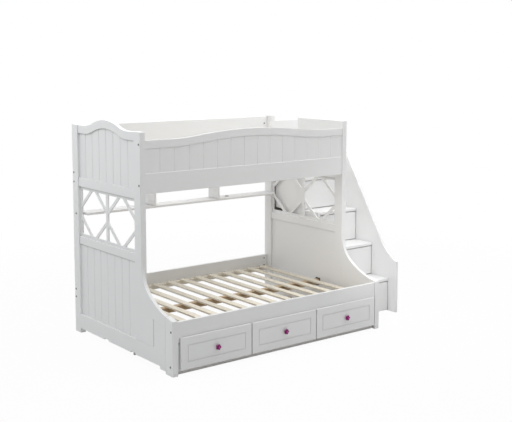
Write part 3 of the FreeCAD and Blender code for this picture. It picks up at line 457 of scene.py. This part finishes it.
def shade_under_rails(material, level):
    """Paints shade into the paint where a rail close above keeps the light off; a level above 1 paints
    light there instead.
    """
    tilt, reach, samples = (0.0, 0.0, 1.6), 0.02, 8
    covered, clear = 0.20, 0.72
    tree = material.node_tree
    upward = vector_rule(tree, "NORMALIZE", add_vectors(tree, surface_normal(tree), tilt))["Vector"]
    inputs = {"Distance": reach, "Normal": upward}
    sky = put(tree, "ShaderNodeAmbientOcclusion", {"samples": samples}, inputs).outputs["AO"]
    base, paint = base_colour(material)
    # Painted shade close under a rail, or painted light where the level is above 1
    tree.links.new(brighten(tree, paint, spread_to(tree, sky, covered, clear, level, 1.0)), base)


def shade_tops(material, level):
    """Paints shade on the paint where it looks straight up, so that tops come out a little darker."""
    sloping, flat = 0.4, 0.9
    tree = material.node_tree
    parts = put(tree, "ShaderNodeSeparateXYZ", None, {"Vector": surface_normal(tree)}).outputs
    base, paint = base_colour(material)
    # Painted shade on faces that look up
    tree.links.new(brighten(tree, paint, spread_to(tree, parts["Z"], sloping, flat, 1.0, level)), base)


def paint_material(along, corner_shade=None):
    """White satin paint with its faint streaks along one axis and painted shade close under the rails."""
    finishes = settings()[0]
    long_scale, cross_scale = 5.0, 130.0
    values = {
        "Colour": colour_of(finishes.paint),
        "Roughness": finishes.paint_roughness,
        "Shade": finishes.paint_shade,
        "Streak Scale": [long_scale if axis == along else cross_scale for axis in "XYZ"],
    }
    group = shared_group("paint_film", paint_film_group)
    shader = {"Specular IOR Level": 0.45}
    material = surface_material(f"white_paint_{along.lower()}", group, values, PAINT_RELIEF, shader)
    # Painted shade close under the rails
    shade_under_rails(material, finishes.corner_shade if corner_shade is None else corner_shade)
    return material


def wood_material(
    name, along, colours, board_start=0.0, board_pitch=10.0, ring_scale=34.0, knot_share=0.2
):
    """Bare or stained wood with its grain turned along one axis."""
    early, late, knot = colours
    group = shared_group("wood_grain", wood_grain_group)
    values = {
        "Early": colour_of(early),
        "Late": colour_of(late),
        "Knot": colour_of(knot),
        "Board Start": board_start,
        "Board Pitch": board_pitch,
        "Ring Scale": ring_scale,
        "Knot Share": knot_share,
    }
    material = surface_material(name, group, values, WOOD_RELIEF)
    tree = material.node_tree
    parts = put(tree, "ShaderNodeSeparateXYZ", None, {"Vector": object_place(tree)}).outputs
    order = {"X": "XYZ", "Y": "YXZ"}[along]
    turns = {axis: parts[source] for axis, source in zip("XYZ", order)}
    turned = put(tree, "ShaderNodeCombineXYZ", None, turns).outputs["Vector"]
    grain = next(node for node in tree.nodes if node.type == "GROUP")
    tree.links.new(turned, grain.inputs["Vector"])
    return material


def rubbed_material(name, colour, rubbed, rub_share, scale, roughness, relief, shader):
    """Metal, coating or plastic that is rubbed in patches."""
    group = shared_group("rubbed_surface", rubbed_surface_group)
    values = {
        "Colour": colour_of(colour),
        "Rubbed": colour_of(rubbed),
        "Rub Share": rub_share,
        "Scale": scale,
        "Roughness": roughness,
    }
    return surface_material(name, group, values, relief, shader)


def screw_steel():
    """The dark plated steel of bolts and screws, made once."""
    finishes = settings()[0]
    name = "dark_plated_steel"
    return bpy.data.materials.get(name) or rubbed_material(
        name,
        finishes.bolt,
        finishes.bolt_rub,
        rub_share=0.5,
        scale=90.0,
        roughness=0.42,
        relief=0.0001,
        shader={"Metallic": 1.0},
    )


def bracket_coat():
    """The black coating of the beam brackets."""
    finishes = settings()[0]
    return rubbed_material(
        "black_coating",
        finishes.bracket,
        finishes.bracket_rub,
        rub_share=0.6,
        scale=60.0,
        roughness=0.5,
        relief=0.0002,
        shader={"Specular IOR Level": 0.4},
    )


def ring_coat():
    """The grey coating of the cord hole's ring."""
    finishes = settings()[0]
    return rubbed_material(
        "grey_coating",
        finishes.ring,
        finishes.ring_rub,
        rub_share=0.4,
        scale=60.0,
        roughness=0.45,
        relief=0.0001,
        shader={"Specular IOR Level": 0.4},
    )


def lighten_eye(material, eye):
    """Lightens the middle of a flower that looks to the front."""
    outer, inner = 0.22, 0.13
    middle, from_front = (0.5, 0.5, 0.5), (1.0, 0.0, 1.0)
    tree = material.node_tree
    place = put(tree, "ShaderNodeTexCoord").outputs["Generated"]
    offset = vector_rule(tree, "SUBTRACT", place, middle)["Vector"]
    away = vector_rule(tree, "LENGTH", scale_vector(tree, offset, from_front))["Value"]
    base, petal = base_colour(material)
    tree.links.new(blend_colours(tree, spread_to(tree, away, outer, inner), petal, eye), base)


def knob_plastic():
    """The glossy purple plastic of the knobs, with a lighter eye."""
    finishes = settings()[0]
    material = rubbed_material(
        "purple_plastic",
        finishes.knob_petal,
        finishes.knob_eye,
        rub_share=0.2,
        scale=45.0,
        roughness=0.30,
        relief=0.00006,
        shader={"Coat Weight": 0.05, "Coat Roughness": 0.12, "Specular IOR Level": 0.25},
    )
    lighten_eye(material, colour_of(finishes.knob_eye))
    return material


def dress(names, material):
    """Gives a finish to pieces of the packed model."""
    for name in names:
        if name not in NODES:
            raise RuntimeError(f"The packed model has no piece named {name}")
        slots = NODES[name].data.materials
        slots.clear()
        slots.append(material)


def slat_pitch(low, high):
    """Distance from slat to slat in a deck with these corners."""
    return (high.x - low.x - SLAT_WIDTH) / (SLAT_COUNT - 1)


def on_circle(side, sides, radius, height):
    """One of the points that divide a circle round the Z axis into equal sides."""
    angle = 2.0 * math.pi * side / sides
    return Vector((radius * math.cos(angle), radius * math.sin(angle), height))


def bridge(mesh, first, second):
    """Joins two round rows of points by a band of faces."""
    sides = len(first)
    for side in range(sides):
        after = (side + 1) % sides
        mesh.faces.new((first[side], first[after], second[after], second[side]))


def turned_ring(mesh, outline, sides, place):
    """Turns an outline of (radius, height) round an axis that place puts in the bed."""
    rows = []
    for radius, height in outline:
        points = [on_circle(side, sides, radius, height) for side in range(sides)]
        rows.append([mesh.verts.new(place @ point) for point in points])
    for low, high in zip(rows, rows[1:]):
        bridge(mesh, low, high)
    return rows


def cross_head(mesh, radius, rise, place):
    """A screw's flat domed head with a cross recess."""
    arm, waist, depth, floor_share = 0.52 * radius, 0.17 * radius, 0.45 * radius, 0.6
    outline = [(radius, -rise), (radius, 0.15 * rise), (0.9 * radius, 0.6 * rise), (0.62 * radius, rise)]
    rim = turned_ring(mesh, outline, HEAD_SIDES, place)[-1]
    quarter = HEAD_SIDES // 4
    arm_sides = (0, 1, quarter - 1)
    star, floor = [], []
    for side in range(HEAD_SIDES):
        reach = arm if side % quarter in arm_sides else waist
        star.append(mesh.verts.new(place @ on_circle(side, HEAD_SIDES, reach, rise)))
        below = on_circle(side, HEAD_SIDES, floor_share * reach, rise - depth)
        floor.append(mesh.verts.new(place @ below))
    bridge(mesh, rim, star)
    bridge(mesh, star, floor)
    mesh.faces.new(floor)


def slotted_nut(mesh, radius, rise, place):
    """A barrel nut's end: a low domed disc with a slot across it."""
    top_radius, half_slot, floor = 0.93 * radius, 0.15 * radius, 0.1 * rise
    outline = [(radius, -rise), (radius, 0.6 * rise), (top_radius, rise)]
    rim = turned_ring(mesh, outline, HEAD_SIDES, place)[-1]
    local = place.inverted()
    reach = math.sqrt(top_radius ** 2 - half_slot ** 2)
    for turn in (1.0, -1.0):
        edge = [vert for vert in rim if turn * (local @ vert.co).y > half_slot]
        edge.sort(key=lambda vert: -turn * (local @ vert.co).x)
        ends = [(turn * side * reach, turn * half_slot) for side in (-1.0, 1.0)]
        lip = [mesh.verts.new(place @ Vector((*end, rise))) for end in ends]
        foot = [mesh.verts.new(place @ Vector((*end, floor))) for end in ends]
        mesh.faces.new(edge + lip)
        mesh.faces.new((lip[0], lip[1], foot[1], foot[0]))
    corners = [(-reach, -half_slot), (reach, -half_slot), (reach, half_slot), (-reach, half_slot)]
    mesh.faces.new([mesh.verts.new(place @ Vector((*corner, floor))) for corner in corners])


def cover_cap(mesh, radius, rise, place):
    """A low round cap with a dimple in its middle."""
    outline = [(radius, -rise), (radius, 0.4 * rise), (0.9 * radius, 0.85 * rise), (0.6 * radius, rise)]
    outline += [(0.3 * radius, rise), (0.24 * radius, 0.35 * rise), (0.02 * radius, 0.3 * rise)]
    turned_ring(mesh, outline, CAP_SIDES, place)


def cord_ring(mesh, radius, rise, place):
    """A rounded rim round a cord hole, with the hole's floor a little below the board's face."""
    hole_floor = -0.4 * rise
    outline = [(radius, -rise), (radius, 0.3 * rise), (0.93 * radius, 0.8 * rise), (0.82 * radius, rise)]
    outline += [(0.68 * radius, 0.8 * rise), (0.6 * radius, 0.0)]
    outline += [(0.58 * radius, hole_floor), (0.02 * radius, hole_floor)]
    turned_ring(mesh, outline, RING_SIDES, place)


def new_piece(name, mesh, material, body="bed_frame"):
    """Makes a mesh into a piece of the object that rides on one of its bodies."""
    bmesh.ops.recalc_face_normals(mesh, faces=mesh.faces)
    data = bpy.data.meshes.new(name)
    mesh.to_mesh(data)
    mesh.free()
    data.shade_smooth()
    data.set_sharp_from_angle(angle=SHARP_ANGLE)
    data.materials.append(material)
    piece = bpy.data.objects.new(name, data)
    bpy.context.scene.collection.objects.link(piece)
    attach(piece, body)


class BUNKBED_OT_paint_boards(bpy.types.Operator):
    """Paint every white board, with the paint's streaks along the board, painted shade under the rails and
    on some tops, and painted light under the front guard's rail
    """

    bl_idname = "bunk_bed.paint_boards"
    bl_label = "Paint boards"

    def execute(self, context):
        finishes = settings()[0]
        dress(BOARDS_ALONG_X, paint_material("X"))
        dress(BOARDS_ALONG_Y, paint_material("Y"))
        dress(BOARDS_ALONG_Z, paint_material("Z"))
        # Painted light under the front guard's rail, and fainter painted shade on the right lower panel
        dress(["front_guard_panel"], paint_material("Z", finishes.guard_painted_light))
        dress(["right_lower_panel"], paint_material("Z", finishes.inner_shade))
        # Painted shade on the tops of the shelf and the guard's top rail
        top_shaded_paint = paint_material("X")
        shade_tops(top_shaded_paint, finishes.top_shade)
        dress(SHADED_TOP_BOARDS, top_shaded_paint)
        return {"FINISHED"}


class BUNKBED_OT_finish_decks(bpy.types.Operator):
    """Give the slats and their ledgers the look of bare pine"""

    bl_idname = "bunk_bed.finish_decks"
    bl_label = "Finish decks"

    def execute(self, context):
        finishes = settings()[0]
        pine = (finishes.pine_early, finishes.pine_late, finishes.pine_knot)
        pale = (finishes.upper_early, finishes.upper_late, finishes.pine_knot)
        low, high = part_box("lower_slats")
        pitch = slat_pitch(low, high)
        start = low.x - (pitch - SLAT_WIDTH) / 2.0
        dress(["lower_slats"], wood_material("pine_slats", "Y", pine, start, pitch))
        dress(["upper_slats"], wood_material("pale_pine_slats", "Y", pale, start, pitch))
        ledgers = wood_material("pine_ledgers", "X", pine, board_start=-2.0, board_pitch=0.5)
        dress(["slat_ledgers"], ledgers)
        return {"FINISHED"}


class BUNKBED_OT_finish_beam(bpy.types.Operator):
    """Stain the middle beam"""

    bl_idname = "bunk_bed.finish_beam"
    bl_label = "Finish beam"

    def execute(self, context):
        finishes = settings()[0]
        stain = (finishes.stain_early, finishes.stain_late, finishes.stain_knot)
        dress(["centre_beam"], wood_material("stained_beam", "X", stain, knot_share=0.1))
        return {"FINISHED"}


class BUNKBED_OT_finish_drawer_boxes(bpy.types.Operator):
    """Give the drawer boxes and their runners the look of pale unpainted wood"""

    bl_idname = "bunk_bed.finish_drawer_boxes"
    bl_label = "Finish drawer boxes"

    def execute(self, context):
        finishes = settings()[0]
        pale = (finishes.box_early, finishes.box_late, finishes.box_knot)
        both = {"board_start": -3.0, "knot_share": 0.05}
        boxes = wood_material("drawer_box_wood", "Y", pale, board_pitch=0.628, ring_scale=22.0, **both)
        dress(DRAWER_BOXES + STEP_BOXES, boxes)
        runners = wood_material("runner_wood", "Y", pale, board_pitch=0.25, ring_scale=30.0, **both)
        dress(["drawer_runners", "stair_runners"], runners)
        return {"FINISHED"}


class BUNKBED_OT_finish_knobs(bpy.types.Operator):
    """Mould the flower knobs in glossy purple plastic"""

    bl_idname = "bunk_bed.finish_knobs"
    bl_label = "Finish knobs"

    def execute(self, context):
        dress(KNOBS, knob_plastic())
        return {"FINISHED"}


class BUNKBED_OT_finish_metal(bpy.types.Operator):
    """Plate the bolts and coat the beam brackets"""

    bl_idname = "bunk_bed.finish_metal"
    bl_label = "Finish bolts and brackets"

    def execute(self, context):
        dress(["post_bolts"], screw_steel())
        dress(["beam_brackets"], bracket_coat())
        return {"FINISHED"}


class BUNKBED_OT_add_slat_screws(bpy.types.Operator):
    """Screw the slats to their ledgers, two screws at each end"""

    bl_idname = "bunk_bed.add_slat_screws"
    bl_label = "Add slat screws"

    def execute(self, context):
        fittings = settings()[1]
        radius, rise = fittings.screw_radius, fittings.screw_rise
        # The heads stand at many angles, as screws do, here in radians
        slat_turn, end_turn, side_turn = 0.9, 2.1, 1.3
        for deck, back_inset in (("lower", fittings.screw_back_inset), ("upper", fittings.screw_inset)):
            low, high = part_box(f"{deck}_slats")
            pitch = slat_pitch(low, high)
            mesh = bmesh.new()
            for slat in range(SLAT_COUNT):
                middle = low.x + slat * pitch + SLAT_WIDTH / 2.0
                for end, y in enumerate((low.y + fittings.screw_inset, high.y - back_inset)):
                    for side in (-0.5, 0.5):
                        spot = Vector((middle + side * fittings.screw_spread, y, high.z))
                        angle = slat_turn * slat + end_turn * end + side_turn * side
                        turn = Matrix.Rotation(angle, 4, "Z")
                        cross_head(mesh, radius, rise, Matrix.Translation(spot) @ turn)
            new_piece(f"{deck}_slat_screws", mesh, screw_steel())
        return {"FINISHED"}


class BUNKBED_OT_add_shelf_fittings(bpy.types.Operator):
    """Add the cover caps on the shelf hangers and the ring of the cord hole in the shelf"""

    bl_idname = "bunk_bed.add_shelf_fittings"
    bl_label = "Add shelf fittings"

    def execute(self, context):
        fittings = settings()[1]
        low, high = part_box("shelf_hangers")
        shelf_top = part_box("back_shelf")[1].z
        middle = (low.y + high.y) / 2.0
        to_left = Matrix.Rotation(math.radians(-90.0), 4, "Y")
        mesh = bmesh.new()
        for face in (low.x, high.x - HANGER_THICK):
            spot = Vector((face, middle, shelf_top + fittings.cap_level))
            cover_cap(mesh, fittings.cap_radius, fittings.cap_rise, Matrix.Translation(spot) @ to_left)
        new_piece("hanger_cover_caps", mesh, paint_material("Y"))
        mesh = bmesh.new()
        spot = Vector((high.x + fittings.grommet_offset, middle, shelf_top))
        cord_ring(mesh, fittings.grommet_radius, fittings.grommet_rise, Matrix.Translation(spot))
        new_piece("shelf_cord_ring", mesh, ring_coat())
        return {"FINISHED"}


class BUNKBED_OT_add_barrel_nuts(bpy.types.Operator):
    """Add the slotted ends of the barrel nuts that take the post bolts, on the insides of the rails"""

    bl_idname = "bunk_bed.add_barrel_nuts"
    bl_label = "Add barrel nuts"

    def execute(self, context):
        fittings = settings()[1]
        radius, inset, rise = fittings.nut_radius, fittings.nut_inset, fittings.nut_rise
        mesh = bmesh.new()
        for rail, share, face in NUT_PLACES:
            low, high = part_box(rail)
            y = low.y if face == "front" else high.y
            turn = Matrix.Rotation(FACE_TURNS[face], 4, "X")
            for x in (low.x + inset, high.x - inset):
                spot = Vector((x, y, low.z + share * (high.z - low.z)))
                slotted_nut(mesh, radius, rise, Matrix.Translation(spot) @ turn)
        new_piece("barrel_nuts", mesh, screw_steel())
        return {"FINISHED"}


def white_rays(tree):
    """One for rays that should meet the plain white studio: seen straight, mirrored or through glass."""
    path = put(tree, "ShaderNodeLightPath").outputs
    seen = combine(tree, "MAXIMUM", path["Is Camera Ray"], path["Is Glossy Ray"])
    return combine(tree, "MAXIMUM", seen, path["Is Transmission Ray"])


def floor_material(stage):
    """A pale floor that turns to plain white where it is seen, the more so far from the bed."""
    tone_scale, tone_reach = 1.7, 0.02
    material = bpy.data.materials.new("studio_floor")
    material.use_nodes = True
    tree = material.node_tree
    bsdf = tree.nodes["Principled BSDF"]
    tone = noise(tree, object_place(tree), tone_scale, detail=3.0)
    level = combine(tree, "ADD", sway(tree, tone, tone_reach), 1.0)
    tree.links.new(brighten(tree, colour_of(stage.floor), level), bsdf.inputs["Base Color"])
    bsdf.inputs["Roughness"].default_value = 0.9
    bsdf.inputs["Specular IOR Level"].default_value = 0.1
    glow = put(tree, "ShaderNodeEmission", None, {"Color": WHITE, "Strength": 1.0})
    away = vector_rule(tree, "LENGTH", object_place(tree))["Value"]
    plain = spread_to(tree, away, stage.floor_near, stage.floor_far, stage.floor_white, 1.0)
    share = combine(tree, "MULTIPLY", white_rays(tree), plain)
    mix = put(tree, "ShaderNodeMixShader", None, {0: share, 1: bsdf.outputs[0], 2: glow.outputs[0]})
    tree.links.new(mix.outputs[0], tree.nodes["Material Output"].inputs["Surface"])
    return material


def make_floor(stage):
    """A wide studio floor that reads white and keeps a faint shadow of the bed."""
    reach = stage.floor_reach
    data = bpy.data.meshes.new("studio_floor")
    corners = [(-reach, -reach, 0.0), (reach, -reach, 0.0), (reach, reach, 0.0), (-reach, reach, 0.0)]
    data.from_pydata(corners, [], [(0, 1, 2, 3)])
    data.materials.append(floor_material(stage))
    floor = bpy.data.objects.new("studio_floor", data)
    bpy.context.scene.collection.objects.link(floor)


def make_world(stage):
    """Soft light from all round, behind a background that looks plain white."""
    world = bpy.data.worlds.new("white_studio")
    bpy.context.scene.world = world
    world.use_nodes = True
    tree = world.node_tree
    tree.nodes.clear()
    tint = colour_of(stage.ambient_tint)
    soft = put(tree, "ShaderNodeBackground", None, {"Color": tint, "Strength": stage.ambient})
    white = put(tree, "ShaderNodeBackground", None, {"Color": WHITE, "Strength": 1.0})
    shares = {0: white_rays(tree), 1: soft.outputs[0], 2: white.outputs[0]}
    mix = put(tree, "ShaderNodeMixShader", None, shares)
    out = put(tree, "ShaderNodeOutputWorld")
    tree.links.new(mix.outputs[0], out.inputs["Surface"])


def make_light(name, power, size, place, aim, spread=math.pi):
    """A soft rectangular light that looks from its place to the point that it is aimed at."""
    lamp = bpy.data.lights.new(name, "AREA")
    lamp.shape = "RECTANGLE"
    lamp.size, lamp.size_y = size
    lamp.energy = power
    lamp.spread = spread
    light = bpy.data.objects.new(name, lamp)
    light.location = place
    light.rotation_mode = "QUATERNION"
    light.rotation_quaternion = (Vector(aim) - Vector(place)).to_track_quat("-Z", "Y")
    light.visible_camera = False
    bpy.context.scene.collection.objects.link(light)
    return lamp


def make_lights(stage):
    """Two lights over the bed, one on the step fronts, one behind the bed and one beside it."""
    make_light(
        "overhead_light",
        stage.overhead_power,
        size=(7.2, 4.6),
        place=(-0.3, -0.4, 3.6),
        aim=(-0.3, -0.399, 0.0),
    )
    make_light(
        "stairs_light",
        stage.stairs_power,
        size=(2.4, 3.0),
        place=(1.7, -1.0, 3.4),
        aim=(1.7, -0.999, 0.0),
    )
    make_light(
        "step_front_light",
        stage.step_front_power,
        size=(0.6, 0.6),
        place=(0.1, -1.5, 0.9),
        aim=(1.25, -0.2, 0.72),
        spread=stage.step_front_spread,
    )
    make_light(
        "backdrop_light",
        stage.back_power,
        size=(10.0, 4.0),
        place=(-1.0, 6.0, 2.0),
        aim=(0.0, 0.0, 0.9),
    )
    left = make_light(
        "left_light",
        stage.left_power,
        size=(3.0, 4.0),
        place=(-4.2, 0.3, 4.0),
        aim=(-1.2, 0.1, 0.8),
    )
    left.color = stage.left_tint


def make_camera(stage):
    """The camera as fitted to the photograph."""
    data = bpy.data.cameras.new("camera")
    data.sensor_fit = "HORIZONTAL"
    data.sensor_width = stage.sensor
    data.lens = stage.lens
    data.shift_y = stage.lens_shift
    data.clip_end = stage.far_clip
    camera = bpy.data.objects.new("camera", data)
    camera.location = (stage.camera_x, stage.camera_y, stage.camera_z)
    turn, dip = stage.camera_turn, stage.camera_dip
    level = math.cos(dip)
    forward = Vector((math.sin(turn) * level, math.cos(turn) * level, -math.sin(dip)))
    camera.rotation_mode = "QUATERNION"
    camera.rotation_quaternion = forward.to_track_quat("-Z", "Y")
    bpy.context.scene.collection.objects.link(camera)
    bpy.context.scene.camera = camera


class BUNKBED_OT_set_stage(bpy.types.Operator):
    """Set up the white floor, the soft light and the camera"""

    bl_idname = "bunk_bed.set_stage"
    bl_label = "Set stage"

    def execute(self, context):
        stage = settings()[2]
        context.scene.view_settings.view_transform = "Standard"
        make_floor(stage)
        make_world(stage)
        make_lights(stage)
        make_camera(stage)
        return {"FINISHED"}


OPERATORS = (
    BUNKBED_OT_paint_boards,
    BUNKBED_OT_finish_decks,
    BUNKBED_OT_finish_beam,
    BUNKBED_OT_finish_drawer_boxes,
    BUNKBED_OT_finish_knobs,
    BUNKBED_OT_finish_metal,
    BUNKBED_OT_add_slat_screws,
    BUNKBED_OT_add_shelf_fittings,
    BUNKBED_OT_add_barrel_nuts,
    BUNKBED_OT_set_stage,
)
SETTINGS = {
    "bunk_bed_finishes": BunkBedFinishes,
    "bunk_bed_fittings": BunkBedFittings,
    "bunk_bed_stage": BunkBedStage,
}


class BUNKBED_PT_finishes(bpy.types.Panel):
    """The bed's finishes, fittings and stage"""

    bl_label = "Bunk bed"
    bl_idname = "BUNKBED_PT_finishes"
    bl_space_type = "VIEW_3D"
    bl_region_type = "UI"
    bl_category = "Bunk bed"

    def draw(self, context):
        for operator in OPERATORS:
            self.layout.operator(operator.bl_idname)
        for name, kind in SETTINGS.items():
            box = self.layout.box()
            box.label(text=kind.__doc__)
            for setting in kind.__annotations__:
                box.prop(getattr(context.scene, name), setting)


def register():
    """Registers the classes and gives the scene its settings."""
    for kind in (*SETTINGS.values(), *OPERATORS, BUNKBED_PT_finishes):
        bpy.utils.register_class(kind)
    for name, kind in SETTINGS.items():
        setattr(bpy.types.Scene, name, PointerProperty(type=kind))


def unregister():
    """Takes the settings and the classes away again."""
    for name in SETTINGS:
        delattr(bpy.types.Scene, name)
    for kind in reversed((*SETTINGS.values(), *OPERATORS, BUNKBED_PT_finishes)):
        bpy.utils.unregister_class(kind)


def main():
    """Registers the classes and runs every operator in order."""
    register()
    for operator in OPERATORS:
        family, name = operator.bl_idname.split(".")
        getattr(getattr(bpy.ops, family), name)()


if __name__ == "__main__":
    main()
